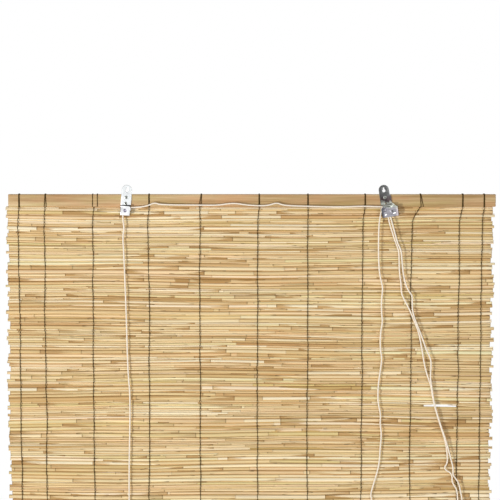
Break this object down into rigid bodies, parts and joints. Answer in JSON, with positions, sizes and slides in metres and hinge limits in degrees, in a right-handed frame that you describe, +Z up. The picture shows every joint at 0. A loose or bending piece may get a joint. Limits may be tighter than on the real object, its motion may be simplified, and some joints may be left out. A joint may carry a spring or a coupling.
{
  "type": "reed roll-up blind",
  "caption": "Roll-up window blind of twine-bound reed stems between wooden laths, raised by lift cords over a pulley and a cord lock on the head rail.",
  "frame": {"origin": "midway between the round lobes of the two keyholes, on the back of the hanger plates, which is the front face of the head rail", "axes": "+X to the right seen from the room, +Y towards the wall or window, +Z up"},
  "size_m": [1.0078, 0.0294, 1.3238],
  "materials": {
    "lath_wood": "planed pine, unvarnished, a fine straight grain",
    "reed": "dry reed stems, satin skin, straw to orange-brown streaks",
    "twine": "dark brown twisted twine",
    "bright_zinc": "bright zinc-plated sheet",
    "grey_steel": "grey zinc-plated sheet",
    "screw_steel": "zinc-plated wire and screw steel",
    "wheel_plastic": "moulded nylon",
    "cord": "braided cream cord"
  },
  "bodies": {
    "head": {"head_rail": "lath_wood", "reed_mat": "reed", "binding_thread_01": "twine", "binding_thread_02": "twine", "binding_thread_03": "twine", "binding_thread_04": "twine", "binding_thread_05": "twine", "binding_thread_06": "twine", "binding_thread_07": "twine", "binding_thread_08": "twine", "binding_thread_09": "twine", "binding_thread_10": "twine", "binding_thread_11": "twine", "left_hanger_plate": "bright_zinc", "left_pulley_bracket": "bright_zinc", "left_pulley_axle": "bright_zinc", "right_hanger_plate": "grey_steel", "lock_housing": "grey_steel", "sheave_axle": "grey_steel", "guide_pin": "grey_steel", "bracket_screws": "screw_steel", "cord_staples": "screw_steel", "left_lift_cord": "cord", "right_lift_cord": "cord", "cross_cord": "cord", "rear_pull_cord": "cord", "front_pull_cord": "cord", "anchor_knots": "cord", "pull_knot": "cord"},
    "bottom_bar": {"bottom_rail": "lath_wood"},
    "left_wheel": {"left_pulley": "wheel_plastic"},
    "right_wheel": {"lock_sheave": "wheel_plastic"},
    "sliding_pin": {"lock_pin": "grey_steel"},
    "toothed_roller": {"lock_roller": "wheel_plastic"}
  },
  "joints": [
    {"name": "blind_lift", "type": "slide", "parent": "head", "child": "bottom_bar", "axis": [0, 0, 1], "range_m": [0, 1.143], "deforming": ["reed_mat", "binding_thread_01", "binding_thread_02", "binding_thread_03", "binding_thread_04", "binding_thread_05", "binding_thread_06", "binding_thread_07", "binding_thread_08", "binding_thread_09", "binding_thread_10", "binding_thread_11", "left_lift_cord", "right_lift_cord"]},
    {"name": "left_pulley_spin", "type": "hinge", "parent": "head", "child": "left_wheel", "pos_m": [-0.26638, -0.00595, -0.04047], "axis": [0, 1, 0], "continuous": true},
    {"name": "sheave_spin", "type": "hinge", "parent": "head", "child": "right_wheel", "pos_m": [0.26397, -0.0072, -0.03936], "axis": [0, 1, 0], "continuous": true},
    {"name": "lock_pin_slide", "type": "slide", "parent": "head", "child": "sliding_pin", "axis": [-0.809, 0, 0.5878], "range_m": [0, 0.006]},
    {"name": "lock_roller_spin", "type": "hinge", "parent": "sliding_pin", "child": "toothed_roller", "pos_m": [0.28388, -0.0072, -0.04492], "axis": [0, 1, 0], "continuous": true}
  ],
  "couplings": [
    {"joint": "left_pulley_spin", "follows": "blind_lift", "rad_per_m": 416.67},
    {"joint": "sheave_spin", "follows": "blind_lift", "rad_per_m": 307.69}
  ]
}
